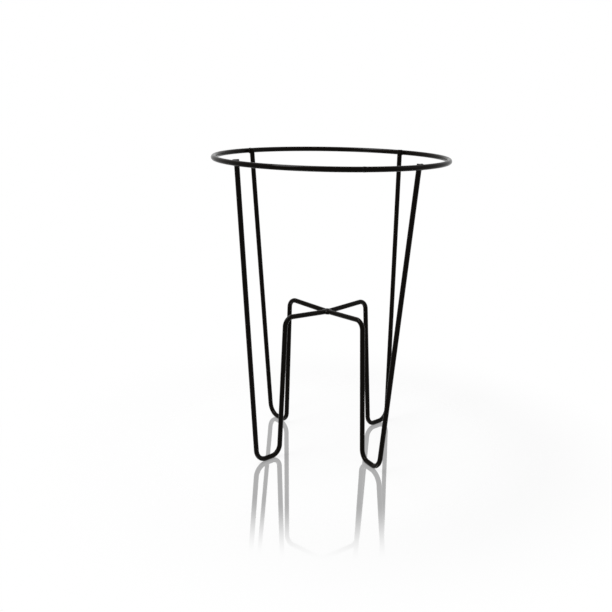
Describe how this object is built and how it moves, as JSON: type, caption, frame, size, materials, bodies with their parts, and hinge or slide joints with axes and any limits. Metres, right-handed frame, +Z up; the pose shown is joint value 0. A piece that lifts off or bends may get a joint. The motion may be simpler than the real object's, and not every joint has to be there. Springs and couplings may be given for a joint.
{
  "type": "plant stand",
  "caption": "Plant stand of bent round rod: a welded ring steadies a pot, bars that meet on the axis carry it, and each bar runs down and back up as a hairpin leg.",
  "frame": {"origin": "on the floor, under the middle of the ring", "axes": "+Z up; +X, +Y, -X and -Y point roughly at the right, back, left and front legs"},
  "size_m": [0.3, 0.3, 0.385],
  "materials": {
    "rod_coat": "smooth black powder coat on steel rod, between satin and gloss",
    "weld_coat": "the same black coat over rippled weld metal"
  },
  "bodies": {
    "root": {"ring": "rod_coat", "ring_seam_weld": "weld_coat", "leg_rod_right": "rod_coat", "leg_rod_back": "rod_coat", "leg_rod_left": "rod_coat", "leg_rod_front": "rod_coat", "ring_weld_right": "weld_coat", "ring_weld_back": "weld_coat", "ring_weld_left": "weld_coat", "ring_weld_front": "weld_coat", "centre_weld": "weld_coat"}
  },
  "joints": []
}
